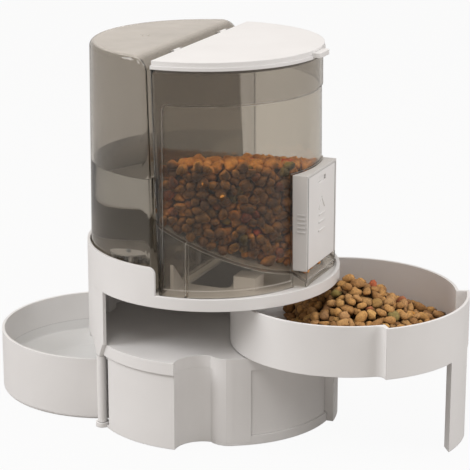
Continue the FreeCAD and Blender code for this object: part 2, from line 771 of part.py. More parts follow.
def below_floor(drop):
    return side_profile(poly_edges([(-far, floor_z(-far) - drop), (far, floor_z(far) - drop),
                                    (far, -bin_top), (-far, -bin_top)]), -far, far)


def bin_block(inset, low, high):
    return tower_cone(inset, low, high).common(bin_profile(inset, low, high))


def rounded_bin(inset, low, high):
    block = bin_block(inset, low, high)
    corners = edges_where(block, lambda e: e.BoundBox.ZLength > high - low - 1
                          and outlet_side(e.CenterOfMass.x, e.CenterOfMass.y) < tower_front / 4)
    return block.makeFillet(bin_corner - inset, corners)


def make_food_bin():
    outer = rounded_bin(0, deck_top, bin_top)
    spout = outlet_box(mouth_root, frame_face, frame_left, frame_right, spout_low, frame_bottom)
    box = united(outer, [spout])
    inner = rounded_bin(bin_wall, deck_top, bin_top)
    spout_room = outlet_box(mouth_root, far, frame_left + spout_wall, frame_right - spout_wall, deck_top, frame_bottom)
    window = outlet_box(mouth_root, far, frame_left + spout_wall, frame_right - spout_wall, deck_top, mouth_top)
    room = inner.fuse([spout_room, window])
    box = box.cut(room.common(above_floor(0)))
    under = inner.fuse([outlet_box(mouth_root, frame_face - spout_wall, frame_left + spout_wall,
                                   frame_right - spout_wall, deck_top, frame_bottom)])
    box = box.cut(under.common(below_floor(bin_floor)))
    a, b = V(panel_left, 0, panel_low), V(panel_left, 0, panel_top - panel_corner)
    mid = V(panel_left + panel_corner * (1 - math.cos(math.radians(45))), 0,
            panel_top - panel_corner * (1 - math.sin(math.radians(45))))
    c, d, e = V(panel_left + panel_corner, 0, panel_top), V(far, 0, panel_top), V(far, 0, panel_low)
    sunk = side_profile([line(a, b), Part.Arc(b, mid, c).toShape(), line(c, d), line(d, e), line(e, a)],
                        -far, far)
    beside = outlet_box(mouth_root, far, frame_left - 1, frame_right + 1, 0, frame_top + 1)
    slope_low = panel_top - panel_slope
    slope = Part.makeCone(tower_radius(slope_low) - panel_depth, tower_radius(panel_top), panel_slope,
                          V(tower_x, tower_y, slope_low))
    skin = tower_cone(0, panel_low, slope_low).cut(tower_cone(panel_depth, panel_low, slope_low))
    skin = skin.fuse(tower_cone(0, slope_low, panel_top).cut(slope))
    box = box.cut(skin.common(sunk).cut(beside))
    ledge = side_profile(poly_edges([(bin_split_high + bin_wall - 0.3, bin_top),
                                     (bin_split_high + bin_wall - 0.3, bin_top - 2 * bin_ledge),
                                     (bin_split_high + bin_wall + bin_ledge, bin_top - bin_ledge / 2),
                                     (bin_split_high + bin_wall + bin_ledge, bin_top)]), -far, far)
    box = box.fuse(ledge.common(rounded_bin(bin_wall / 2, bin_top - 2 * bin_ledge, bin_top)))
    rib = outlet_box(18.0 - bin_rib, 18.0, -far, 0, deck_top, bin_top).common(
        tower_cone(bin_wall / 2, deck_top, bin_top).cut(tower_cone(bin_wall + 5.0, deck_top, bin_top)))
    box = box.fuse(rib.common(below_floor(bin_floor / 2)))
    box = box.fuse([ear for s in (-knuckle_place, knuckle_place) for ear in hinge_ears(s)]).removeSplitter()
    for s in (-knuckle_place, knuckle_place):
        reach = knuckle_half + knuckle_gap + ear_length + 1
        box = box.cut(outlet_rod(knuckle_pin_radius, hinge_n, hinge_z, s - reach, s + reach))
    return box


def hinge_ears(s):
    """Two ears on the bin's flat wall, one each side of a lid knuckle."""
    ears = []
    for sign in (-1, 1):
        a = s + sign * (knuckle_half + knuckle_gap)
        b = a + sign * ear_length
        low_s, high_s = min(a, b), max(a, b)
        post = outlet_box(bin_split_high + 0.2, hinge_n + knuckle_radius, low_s, high_s,
                          bin_top - 1, hinge_z)
        ears.append(post.fuse(outlet_rod(knuckle_radius, hinge_n, hinge_z, low_s, high_s)))
    return ears


def make_hinge_pins():
    reach = knuckle_half + knuckle_gap + ear_length
    return Part.makeCompound([outlet_rod(knuckle_pin_radius, hinge_n, hinge_z, s - reach, s + reach)
                              for s in (-knuckle_place, knuckle_place)])


def make_outlet_frame():
    outside = tower_cone(-0.05, frame_bottom - 5, frame_top + 5)
    block = outlet_box(mouth_root, frame_face, frame_left, frame_right, frame_bottom, frame_top).cut(outside)
    ribs = [outlet_box(frame_face - 8.5, frame_face - 1.5, frame_left - grip_proud, frame_left + 1,
                       grip_low + k * grip_pitch, grip_low + k * grip_pitch + grip_thick)
            for k in range(grip_ribs)]
    block = united(block, ribs)
    left, right = frame_left + frame_border, frame_right - frame_border
    block = block.cut(outlet_box(mouth_root, frame_face + 1, left, right, frame_bottom - 1, frame_top - frame_bar))
    track = outlet_box(gate_back - gate_tongue - 2 * gate_clearance, gate_back, frame_left + frame_track_wall,
                       frame_right - frame_track_wall, frame_bottom - 1, frame_top - frame_bar)
    return block.cut(track)


def make_gate():
    left = frame_left + frame_border + gate_clearance
    right = frame_right - frame_border - gate_clearance
    plate = outlet_box(gate_back, gate_front, left, right, gate_bottom, gate_top)
    tongue = outlet_box(gate_back - gate_tongue - gate_clearance, gate_back - gate_clearance,
                        frame_left + frame_track_wall + gate_clearance,
                        frame_right - frame_track_wall - gate_clearance,
                        gate_bottom + gate_travel + 1.0, gate_top)
    neck = outlet_box(gate_back - gate_clearance, gate_back, left + 1, right - 1,
                      gate_bottom + gate_travel + 1.0, gate_top)
    gate = united(plate, [tongue, neck])
    middle = (left + right) / 2
    notch = outlet_box(gate_front - 1.2, gate_front + 1, middle - notch_width / 2, middle + notch_width / 2,
                       gate_top - notch_depth - 5, gate_top - 5)
    return gate.cut(notch)


def make_lid():
    low, high = bin_top, bin_top + lid_thickness

    def straight(n, z0, z1):
        return outlet_box(n, far, -far, far, z0, z1)

    def plate(radius, n, z0, z1):
        return disc(tower_x, tower_y, radius, z0, z1).common(straight(n, z0, z1))

    upper = plate(tower_radius_high + lid_overhang - lid_step, lid_edge_n + lid_step, high - lid_plate, high)
    lower = plate(tower_radius_high + lid_overhang, lid_edge_n, low, high - lid_plate)
    inside = tower_radius_high - bin_wall - lid_fit
    rim_n = bin_split_high + bin_wall + bin_ledge + lid_fit
    rim = plate(inside, rim_n, low - lid_rim_depth, low).cut(
        plate(inside - lid_rim_wall, rim_n + lid_rim_wall, low - lid_rim_depth, low))
    tab_edge = tower_front + lid_tab_proud
    tab = outlet_box(tab_edge - lid_tab_depth, tab_edge, -lid_tab_half, lid_tab_half, low + 1, high - 2)
    tab = tab.makeFillet(4.0, edges_where(tab, lambda e: e.BoundBox.ZLength > lid_thickness - 3.1
                                          and outlet_side(e.CenterOfMass.x, e.CenterOfMass.y) > tab_edge - 1))
    lid = united(upper, [lower, rim, tab])
    for s in (-knuckle_place, knuckle_place):
        barrel = outlet_rod(knuckle_radius, hinge_n, hinge_z, s - knuckle_half, s + knuckle_half)
        web = outlet_box(hinge_n, lid_edge_n + 1.5, s - knuckle_half, s + knuckle_half,
                         hinge_z - 1.2, hinge_z + 1.2)
        hole = outlet_rod(knuckle_pin_radius + 0.05, hinge_n, hinge_z, s - knuckle_half - 1,
                          s + knuckle_half + 1)
        lid = united(lid, [barrel, web]).cut(hole)
    return lid


pieces = {
    "base_shell": make_base_shell(),
    "base_feet": make_feet(),
    "base_screws": make_base_screws(),
    "shelf": make_shelf(),
    "shelf_screws": make_shelf_screws(),
    "upper_wall": make_upper_wall(),
    "deck": make_deck(),
    "deck_screws": make_deck_screws(),
    "water_tray": make_water_tray(),
    "water_pivot_pin": make_water_pin(),
    "food_tray": make_food_tray(),
    "food_pivot_pin": make_food_pin(),
    "water_tank": make_water_tank(),
    "tank_cap": make_tank_cap(),
    "cap_gasket": make_cap_gasket(),
    "valve_plunger": make_valve_plunger(),
    "valve_seal": make_valve_seal(),
    "valve_spring": make_valve_spring(),
    "food_bin": make_food_bin(),
    "outlet_frame": make_outlet_frame(),
    "outlet_gate": make_gate(),
    "bin_lid": make_lid(),
    "lid_hinge_pins": make_hinge_pins(),
}

os.makedirs("parts", exist_ok=True)
for name, shape in pieces.items():
    box = shape.BoundBox
    print("%-16s solids %d valid %s volume %d z %.1f to %.1f" % (
        name, len(shape.Solids), shape.isValid(), shape.Volume, box.ZMin, box.ZMax))
    shape.exportStep("parts/%s.step" % name)
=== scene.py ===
import bmesh
import bpy
import math
import random
from mathutils import Matrix, Vector, noise


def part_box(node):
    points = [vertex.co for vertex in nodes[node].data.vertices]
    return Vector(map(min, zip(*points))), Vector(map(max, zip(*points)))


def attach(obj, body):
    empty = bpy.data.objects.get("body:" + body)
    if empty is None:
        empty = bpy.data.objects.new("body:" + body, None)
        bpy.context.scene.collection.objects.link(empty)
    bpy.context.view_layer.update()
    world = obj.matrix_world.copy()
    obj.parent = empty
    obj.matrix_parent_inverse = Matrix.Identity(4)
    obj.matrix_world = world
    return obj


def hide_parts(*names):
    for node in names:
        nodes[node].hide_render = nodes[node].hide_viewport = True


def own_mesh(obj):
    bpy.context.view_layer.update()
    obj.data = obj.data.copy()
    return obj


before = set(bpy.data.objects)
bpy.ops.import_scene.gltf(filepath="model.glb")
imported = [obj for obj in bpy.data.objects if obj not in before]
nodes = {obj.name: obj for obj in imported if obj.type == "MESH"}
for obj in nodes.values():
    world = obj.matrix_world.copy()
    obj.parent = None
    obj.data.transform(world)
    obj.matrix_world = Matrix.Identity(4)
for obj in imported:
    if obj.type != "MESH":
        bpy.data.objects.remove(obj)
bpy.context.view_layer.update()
print("frame loaded:", len(nodes), "pieces")

# sizes and places are in millimetres, except for the finishes, studio and camera, which are in metres
mm = 0.001
outletTurn = math.radians(-23)      # the food outlet's direction, seen from above
tower = {
    "foot": 135.5, "height": 190.5, "middleX": -5.8, "middleY": -0.8,
    "radius": 100.8, "taper": 1.8,  # it narrows a little towards the top
    "lean": 6.3,                    # how far its flat walls lean back over its height
}


def outletPoint(along, across, up):
    # millimetres in the food outlet's own directions, turned into the scene's metres
    x = along * math.cos(outletTurn) - across * math.sin(outletTurn)
    y = along * math.sin(outletTurn) + across * math.cos(outletTurn)
    return Vector((x, y, up)) * mm


def alongAndAcross(x, y):
    # the way back, millimetres to millimetres
    along = x * math.cos(outletTurn) + y * math.sin(outletTurn)
    across = -x * math.sin(outletTurn) + y * math.cos(outletTurn)
    return along, across


def towerRadius(z):
    return tower["radius"] - tower["taper"] * (z - tower["foot"]) / tower["height"]


def makePiece(name, bm, material, body, angle):
    mesh = bpy.data.meshes.new(name)
    bm.to_mesh(mesh)
    bm.free()
    piece = bpy.data.objects.new(name, mesh)
    bpy.context.collection.objects.link(piece)
    mesh.materials.append(material)
    mesh.shade_smooth()
    if angle:
        mesh.set_sharp_from_angle(angle=math.radians(angle))
    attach(piece, body)
    return piece


def feed(tree, node, sources):
    # a source is a plain value or another node's output
    for label, source in sources.items():
        if isinstance(source, bpy.types.NodeSocket):
            tree.links.new(source, node.inputs[label])
        else:
            node.inputs[label].default_value = source
    return node


def addNode(tree, kind, place, sources=None, **settings):
    node = tree.nodes.new(kind)
    node.location = place
    for key, value in settings.items():
        setattr(node, key, value)
    return feed(tree, node, sources or {})


def addMath(tree, operation, place, *sources):
    return addNode(tree, "ShaderNodeMath", place, dict(enumerate(sources)), operation=operation).outputs[0]


def addScale(tree, place, vector, factor):
    node = addNode(tree, "ShaderNodeVectorMath", place, {0: vector, "Scale": factor}, operation="SCALE")
    return node.outputs["Vector"]


def addDot(tree, place, first, second):
    node = addNode(tree, "ShaderNodeVectorMath", place, {0: first, 1: second}, operation="DOT_PRODUCT")
    return node.outputs["Value"]


def addMix(tree, place, factor, first, second):
    node = addNode(tree, "ShaderNodeMix", place, {
        "Factor": factor, "A": first, "B": second}, data_type="RGBA")
    return node.outputs["Result"]


def addRange(tree, place, value, before, after=(0.0, 1.0)):
    # spreads one span of a value over another
    node = addNode(tree, "ShaderNodeMapRange", place, {
        "Value": value, "From Min": before[0], "From Max": before[1], "To Min": after[0], "To Max": after[1]})
    return node.outputs["Result"]


def addBump(tree, place, look, height):
    return addNode(tree, "ShaderNodeBump", place, {
        "Strength": look["bump"], "Distance": look["bumpDepth"], "Height": height})


def newGroup(name, inputs, outputs):
    group = bpy.data.node_groups.new(name, "ShaderNodeTree")
    for label, kind, value in inputs:
        socket = group.interface.new_socket(name=label, in_out="INPUT", socket_type=kind)
        socket.default_value = value
    for label, kind in outputs:
        group.interface.new_socket(name=label, in_out="OUTPUT", socket_type=kind)
    return group, addNode(group, "NodeGroupInput", (-900, 0)), addNode(group, "NodeGroupOutput", (900, 0))


def newMaterial(name):
    material = bpy.data.materials.new(name)
    material.use_nodes = True
    tree = material.node_tree
    tree.nodes.clear()
    return material, tree, addNode(tree, "ShaderNodeOutputMaterial", (900, 0))


def useGroup(tree, group, place, **sources):
    return addNode(tree, "ShaderNodeGroup", place, sources, node_tree=group)


def makeMouldGroup():
    # moulded plastic: cloudy tone, uneven gloss and a fine sparked grain
    group, given, result = newGroup("mouldedSkin", [
        ("Tone", "NodeSocketColor", (0.8, 0.8, 0.8, 1)), ("Deep", "NodeSocketColor", (0.7, 0.7, 0.7, 1)),
        ("Cloud", "NodeSocketFloat", 14.0), ("Grain", "NodeSocketFloat", 1500.0),
        ("Gloss", "NodeSocketFloat", 0.35), ("Spread", "NodeSocketFloat", 0.1)], [
        ("Color", "NodeSocketColor"), ("Roughness", "NodeSocketFloat"), ("Height", "NodeSocketFloat")])
    point = addNode(group, "ShaderNodeTexCoord", (-900, -300)).outputs["Object"]
    cloud = addNode(group, "ShaderNodeTexNoise", (-600, 200), {
        "Vector": point, "Scale": given.outputs["Cloud"], "Detail": 3})
    grain = addNode(group, "ShaderNodeTexNoise", (-600, -100), {
        "Vector": point, "Scale": given.outputs["Grain"], "Detail": 2})
    smear = addNode(group, "ShaderNodeTexNoise", (-600, -400), {"Vector": point, "Scale": 55, "Detail": 4})
    soft = addRange(group, (-350, 200), cloud.outputs["Fac"], (0.35, 0.7))
    colour = addMix(group, (0, 200), soft, given.outputs["Tone"], given.outputs["Deep"])
    centred = addMath(group, "SUBTRACT", (-300, -400), smear.outputs["Fac"], 0.5)
    rough = addMath(group, "MULTIPLY_ADD", (0, -300), centred, given.outputs["Spread"],
                    given.outputs["Gloss"])
    feed(group, result, {"Color": colour, "Roughness": rough, "Height": grain.outputs["Fac"]})
    return group


def makeEdgeGroup():
    # rounded look on moulded edges, and an edge mask for wear where hands and cloths rub them and for painted
    # highlights along edges
    group, given, result = newGroup("softEdge", [
        ("Radius", "NodeSocketFloat", 0.0006), ("Patch", "NodeSocketFloat", 90.0)], [
        ("Normal", "NodeSocketVector"), ("WearAndHighlight", "NodeSocketFloat")])
    bevel = addNode(group, "ShaderNodeBevel", (-600, 200), {"Radius": given.outputs["Radius"]}, samples=6)
    plain = addNode(group, "ShaderNodeNewGeometry", (-600, 0))
    bent = addDot(group, (-350, 100), bevel.outputs["Normal"], plain.outputs["Normal"])
    edge = addRange(group, (-100, 100), bent, (1.0, 0.9))
    point = addNode(group, "ShaderNodeTexCoord", (-900, -300)).outputs["Object"]
    patch = addNode(group, "ShaderNodeTexNoise", (-600, -250), {
        "Vector": point, "Scale": given.outputs["Patch"]})
    rub = addMath(group, "MULTIPLY", (300, 0), edge, patch.outputs["Fac"])
    feed(group, result, {"Normal": bevel.outputs["Normal"], "WearAndHighlight": rub})
    return group


def makeGrimeGroup():
    # painted shade: a colour darkened, down to a given share of itself, where ambient occlusion finds
    # surfaces meeting
    group, given, result = newGroup("jointGrime", [
        ("Color", "NodeSocketColor", (0.8, 0.8, 0.8, 1)), ("Distance", "NodeSocketFloat", 0.0016),
        ("Grime", "NodeSocketFloat", 0.6)], [("Color", "NodeSocketColor")])
    crease = addNode(group, "ShaderNodeAmbientOcclusion", (-500, 500), {
        "Distance": given.outputs["Distance"]}, samples=6)
    depth = addRange(group, (-250, 500), crease.outputs["AO"], (0.25, 0.75), (given.outputs["Grime"], 1.0))
    feed(group, result, {"Color": addScale(group, (-100, 350), given.outputs["Color"], depth)})
    return group


mouldGroup = makeMouldGroup()
edgeGroup = makeEdgeGroup()
creaseShadeGroup = makeGrimeGroup()


def mouldedSkin(tree, look):
    return useGroup(tree, mouldGroup, (-500, 200), Tone=look["tone"], Deep=look["deep"], Cloud=look["cloud"],
                    Grain=look["grain"], Gloss=look["gloss"], Spread=look["spread"])


def jointShade(tree, look):
    # painted shade of the joint gaps: darker beyond a distance to either side of the gate's middle
    point = addNode(tree, "ShaderNodeTexCoord", (-1000, 900)).outputs["Object"]
    across = addDot(tree, (-800, 900), point, (-math.sin(outletTurn), math.cos(outletTurn), 0))
    centred = addMath(tree, "SUBTRACT", (-600, 900), across, look["jointMiddle"])
    away = addMath(tree, "ABSOLUTE", (-400, 900), centred)
    span = (look["jointFrom"] - look["jointBlur"], look["jointFrom"])
    return addRange(tree, (-200, 900), away, span, (1.0, look["jointShade"]))


def solidPlastic(name, look):
    material, tree, output = newMaterial(name)
    skin = mouldedSkin(tree, look)
    edge = useGroup(tree, edgeGroup, (-500, -200), Radius=look["edge"])
    # painted shade in the creases and joints, where surfaces meet
    creaseShaded = useGroup(tree, creaseShadeGroup, (-200, 350), Color=skin.outputs["Color"], Distance=look["crease"],
                      Grime=look["creaseShade"])
    # edges paler: wear where hands rub them, and a painted highlight along them
    colour = addMix(tree, (0, 200), edge.outputs["WearAndHighlight"], creaseShaded.outputs["Color"], look["edgeWearAndHighlight"])
    if "jointFrom" in look:
        colour = addScale(tree, (250, 350), colour, jointShade(tree, look))
    bump = addBump(tree, (100, -200), look, skin.outputs["Height"])
    feed(tree, bump, {"Normal": edge.outputs["Normal"]})
    shader = addNode(tree, "ShaderNodeBsdfPrincipled", (500, 0), {
        "Base Color": colour, "Roughness": skin.outputs["Roughness"], "IOR": look["ior"],
        "Normal": bump.outputs["Normal"]})
    feed(tree, output, {"Surface": shader.outputs["BSDF"]})
    return material


def panelMask(tree, look, point):
    # 1 on the bin's sunk panel: ahead of a line across the outlet direction and below the border
    along = addDot(tree, (-650, -700), point, (math.cos(outletTurn), math.sin(outletTurn), 0))
    ahead = addMath(tree, "GREATER_THAN", (-400, -700), along, look["panelFrom"])
    height = addNode(tree, "ShaderNodeSeparateXYZ", (-650, -900), {0: point})
    below = addMath(tree, "LESS_THAN", (-400, -900), height.outputs["Z"], look["panelTop"])
    return addMath(tree, "MULTIPLY", (-200, -800), ahead, below)


def dusted(tree, look, surface, patches):
    # dust settles on what faces up
    facing = addNode(tree, "ShaderNodeNewGeometry", (-600, 700))
    upward = addNode(tree, "ShaderNodeSeparateXYZ", (-400, 700), {0: facing.outputs["Normal"]})
    level = addRange(tree, (-200, 700), upward.outputs["Z"], look["dustFacing"], (0.0, look["dust"]))
    patchy = addRange(tree, (150, 900), patches, (0.0, 1.0), look["dustPatches"])
    cover = addMath(tree, "MULTIPLY", (400, 700), level, patchy)
    film = addNode(tree, "ShaderNodeBsdfDiffuse", (400, 500), {"Color": look["dustTone"]})
    covered = addNode(tree, "ShaderNodeMixShader", (800, 200), {
        "Fac": cover, 1: surface, 2: film.outputs["BSDF"]})
    return covered.outputs["Shader"]


def clearPlastic(name, look):
    # see-through plastic: shadow rays pass it tinted, so what is inside is lit
    material, tree, output = newMaterial(name)
    skin = mouldedSkin(tree, look)
    colour, rough = skin.outputs["Color"], skin.outputs["Roughness"]
    point = addNode(tree, "ShaderNodeTexCoord", (-900, -300)).outputs["Object"]
    ripple = addNode(tree, "ShaderNodeTexNoise", (-600, -300), {"Vector": point, "Scale": look["ripple"]})
    bump = addBump(tree, (-100, -250), look, ripple.outputs["Fac"])
    if "thin" in look:
        colour = addMix(tree, (-100, 350), panelMask(tree, look, point), colour, look["thin"])
    if look["edge"]:
        edge = useGroup(tree, edgeGroup, (-500, -500), Radius=look["edge"], Patch=look["edgePatch"])
        feed(tree, bump, {"Normal": edge.outputs["Normal"]})
        rough = addMath(tree, "MULTIPLY_ADD", (0, -500), edge.outputs["WearAndHighlight"], look["edgeFrost"], rough)
        # painted highlight: edges turn paler, standing in for the catch lights along them
        colour = addMix(tree, (100, 350), edge.outputs["WearAndHighlight"], colour, look["edgeHighlightTone"])
    shader = addNode(tree, "ShaderNodeBsdfPrincipled", (300, 100), {
        "Base Color": colour, "Roughness": rough, "IOR": look["ior"], "Transmission Weight": look["clear"],
        "Normal": bump.outputs["Normal"]})
    through = addNode(tree, "ShaderNodeBsdfTransparent", (300, -300), {"Color": look["shade"]})
    path = addNode(tree, "ShaderNodeLightPath", (0, 500))
    either = addMath(tree, "MAXIMUM", (250, 400), path.outputs["Is Shadow Ray"],
                     path.outputs["Is Diffuse Ray"])
    both = addNode(tree, "ShaderNodeMixShader", (650, 0), {
        "Fac": either, 1: shader.outputs["BSDF"], 2: through.outputs["BSDF"]})
    surface = both.outputs["Shader"]
    if look["dust"]:
        surface = dusted(tree, look, surface, ripple.outputs["Fac"])
    feed(tree, output, {"Surface": surface})
    return material


def metalFinish(name, look):
    material, tree, output = newMaterial(name)
    skin = mouldedSkin(tree, look)
    bump = addBump(tree, (100, -200), look, skin.outputs["Height"])
    shader = addNode(tree, "ShaderNodeBsdfPrincipled", (500, 0), {
        "Base Color": skin.outputs["Color"], "Roughness": skin.outputs["Roughness"], "Metallic": 1.0,
        "Normal": bump.outputs["Normal"]})
    feed(tree, output, {"Surface": shader.outputs["BSDF"]})
    return material


# gloss is a roughness, spread how much it varies, and the value after crease how dark the painted shade in
# joints and creases gets
whitePlastic = {
    "tone": (0.80, 0.785, 0.772, 1), "deep": (0.765, 0.748, 0.735, 1), "edgeWearAndHighlight": (0.86, 0.85, 0.84, 1),
    "cloud": 16.0, "grain": 1600.0, "gloss": 0.36, "spread": 0.16, "ior": 1.49, "edge": 0.0008,
    "bump": 0.10, "bumpDepth": 0.0002, "crease": 0.0016, "creaseShade": 0.55,
}
# painted shade of the joint gaps lines the gate's two upright edges; across is measured from the gate's
# middle
gatePlastic = dict(whitePlastic, jointMiddle=-0.0045, jointFrom=0.0310, jointBlur=0.0002, jointShade=0.30)
# the gate's frame is the white plastic darkened by painted shade, as its sides lie in shade
shadedFramePlastic = dict(whitePlastic, tone=(0.66, 0.64, 0.62, 1), deep=(0.62, 0.60, 0.58, 1))
smokePlastic = {
    "tone": (0.52, 0.485, 0.44, 1), "deep": (0.49, 0.455, 0.41, 1), "shade": (0.86, 0.84, 0.81, 1),
    "cloud": 9.0, "grain": 900.0, "gloss": 0.03, "spread": 0.03, "ior": 1.38, "clear": 0.997,
    "ripple": 26.0, "bump": 0.02, "bumpDepth": 0.001,
    "edge": 0.0009, "edgePatch": 20.0, "edgeFrost": 0.8, "edgeHighlightTone": (0.97, 0.95, 0.93, 1),
    "dust": 0.42, "dustFacing": (0.75, 1.0), "dustPatches": (0.7, 1.2), "dustTone": (0.66, 0.62, 0.57, 1),
}
# the bin's sunk panel is thinner and so lets more light by
binPlastic = dict(smokePlastic, thin=(0.66, 0.62, 0.56, 1), panelFrom=0.001, panelTop=0.2965)
paleGrey = {
    "tone": (0.50, 0.52, 0.55, 1), "deep": (0.46, 0.48, 0.51, 1), "edgeWearAndHighlight": (0.6, 0.62, 0.64, 1),
    "cloud": 60.0, "grain": 2500.0, "gloss": 0.3, "spread": 0.1, "ior": 1.49, "edge": 0.0002,
    "bump": 0.05, "bumpDepth": 0.0002, "crease": 0.001, "creaseShade": 0.7,
}
footRubber = {
    "tone": (0.075, 0.075, 0.078, 1), "deep": (0.05, 0.05, 0.052, 1), "edgeWearAndHighlight": (0.13, 0.13, 0.13, 1),
    "cloud": 120.0, "grain": 2200.0, "gloss": 0.8, "spread": 0.15, "ior": 1.49, "edge": 0.0003,
    "bump": 0.5, "bumpDepth": 0.0002, "crease": 0.001, "creaseShade": 0.8,
}
platedSteel = {
    "tone": (0.62, 0.62, 0.63, 1), "deep": (0.5, 0.5, 0.52, 1), "cloud": 260.0, "grain": 4000.0,
    "gloss": 0.28, "spread": 0.2, "bump": 0.15, "bumpDepth": 0.00005,
}
clearWater = {
    "tone": (0.965, 0.985, 0.99, 1), "deep": (0.955, 0.98, 0.985, 1), "shade": (0.96, 0.975, 0.98, 1),
    "cloud": 8.0, "grain": 500.0, "gloss": 0.0, "spread": 0.0, "ior": 1.333, "clear": 1.0,
    "ripple": 38.0, "bump": 0.015, "bumpDepth": 0.001, "edge": 0.0, "dust": 0.0,
}

finishes = {
    "white": solidPlastic("whiteMouldedPlastic", whitePlastic),
    "gate": solidPlastic("gatePlastic", gatePlastic),
    "frame": solidPlastic("gateFramePaintedShade", shadedFramePlastic),
    "smoke": clearPlastic("smokeClearPlastic", smokePlastic),
    "smokeBin": clearPlastic("smokeBinPlastic", binPlastic),
    "grey": solidPlastic("greyValvePlastic", paleGrey),
    "rubber": solidPlastic("footRubber", footRubber),
    "steel": metalFinish("platedSteel", platedSteel),
    "water": clearPlastic("stillWater", clearWater),
}

finishOfNode = {
    "base_shell": "white", "base_feet": "rubber", "base_screws": "steel", "shelf": "white",
    "shelf_screws": "steel", "upper_wall": "white", "deck": "white", "deck_screws": "steel",
    "water_tray": "white", "water_pivot_pin": "steel", "food_tray": "white", "food_pivot_pin": "steel",
    "water_tank": "smoke", "tank_cap": "white", "cap_gasket": "rubber", "valve_plunger": "grey",
    "valve_seal": "rubber", "valve_spring": "steel", "food_bin": "smokeBin", "outlet_frame": "frame",
    "outlet_gate": "gate", "bin_lid": "white", "lid_hinge_pins": "steel",
}
for name, finish in finishOfNode.items():
    for socket in nodes[name].material_slots:
        socket.material = finishes[finish]
print("finishes made")


kibbleLook = {
    "smallest": 3.9, "largest": 5.4,            # radius
    "shapes": 18, "seed": 7, "apart": (7.3, 3.1),
    "stretch": ((1.0, 1.42), (0.84, 1.02), (0.72, 0.92)),
    "flats": 6, "flatReach": (0.66, 0.86), "flatDepth": 0.9,
    "lumps": ((1.3, 0.30), (3.1, 0.20)), "swell": 1.06,
    "turn": 6.28, "tip": 0.7, "roll": 0.45,
}
settling = {
    "nesting": 0.84, "sunk": 0.8,               # uneven pieces sit closer than round ones
    "places": 9, "rolls": 14, "step": 6.0, "shorter": 0.86,
}
foodInBin = {
    "level": 228.5, "acrossX": -0.031, "acrossY": -0.2105, "dip": 2.6, "dipScale": 0.04,
    "tries": 60, "spanX": (-95, 105), "spanY": (-100, 100),
    "guess": 200.0,                             # stands for the height of a piece that has none yet
    "rear": -4.4, "wall": 2.7, "hug": 0.9,      # inner face of the flat wall, thickness of the round one
    "floor": 193.5, "fall": 0.505, "skin": 0.4,     # it slopes down to the outlet
    "slotFrom": 60, "slotLow": -36.8, "slotHigh": 27.8, "slotTop": 183.0,       # the passage to the gate
    "gateFoot": 152.2, "underFoot": 0.62, "behindGate": 95.2, "underGate": 99.0, "spare": 1.05,
}
foodInTray = {
    "peakX": 123.0, "peakY": -34.0, "peak": 134.0, "slope": 0.60, "from": 63.0,
    "flare": 0.0016, "flareFrom": 34.0, "dip": 3.0, "dipScale": 0.05,
    "tries": 60, "spanX": (30, 205), "spanY": (-134, 54),
    "floor": 82.55, "middle": (112.2, -39.8), "radius": 95.2,
    "pin": (83.96, 58.79), "pinRadius": 7.2,
    "deck": 110.4, "underDeck": 126.4, "nearDeck": 112.0, "lowered": 119.0,
}
kibbleSkin = {
    "colours": [(0.0, (0.42, 0.22, 0.08)), (0.20, (0.62, 0.33, 0.11)), (0.42, (0.82, 0.46, 0.15)),
                (0.60, (0.70, 0.40, 0.17)), (0.76, (0.90, 0.54, 0.18)), (0.84, (0.50, 0.28, 0.12)),
                (0.90, (0.72, 0.13, 0.04)), (0.92, (0.76, 0.38, 0.12)), (0.975, (0.30, 0.31, 0.10)),
                (1.0, (0.90, 0.40, 0.07))],
    # the two tints paint light on the same food: warm light inside the bin, shade on the tray's heap
    "binPaintedLight": (1.06, 0.79, 0.43), "trayPaintedShade": (0.70, 0.66, 0.62), "gloss": 0.78,
    "crumb": 520, "crumbDetail": 5, "crumbRoughness": 0.7, "crumbSpan": (0.36, 0.66), "toasted": (0.66, 1.2),
    "pores": 900, "poreDepth": 0.5, "bump": 0.75, "bumpDepth": 0.0007,
    "gap": 0.007, "gapSpan": (0.1, 0.7), "gapShade": (0.12, 1.0),
}


def makeKibbleShapes(rng):
    noise.seed_set(kibbleLook["seed"])      # else the flats differ from run to run
    shapes = []
    for number in range(kibbleLook["shapes"]):
        bm = bmesh.new()
        bmesh.ops.create_icosphere(bm, subdivisions=2, radius=1.0)
        stretch = Vector([rng.uniform(*span) for span in kibbleLook["stretch"]])
        offset = Vector((number * kibbleLook["apart"][0], number * kibbleLook["apart"][1], 0))
        flats = [(noise.random_unit_vector(), rng.uniform(*kibbleLook["flatReach"]))
                 for flat in range(kibbleLook["flats"])]
        for vert in bm.verts:
            for facing, reach in flats:
                over = vert.co.dot(facing) - reach
                if over > 0:
                    vert.co -= facing * over * kibbleLook["flatDepth"]
            lump = sum(noise.noise(vert.co * scale + offset) * depth for scale, depth in kibbleLook["lumps"])
            vert.co = vert.co * (kibbleLook["swell"] + lump)
        bmesh.ops.scale(bm, vec=stretch, verts=bm.verts)
        mesh = bpy.data.meshes.new("kibbleShape%02d" % number)
        bm.to_mesh(mesh)
        bm.free()
        mesh.attributes.new("kibbleTone", "FLOAT", "POINT")
        shapes.append(mesh)
    return shapes


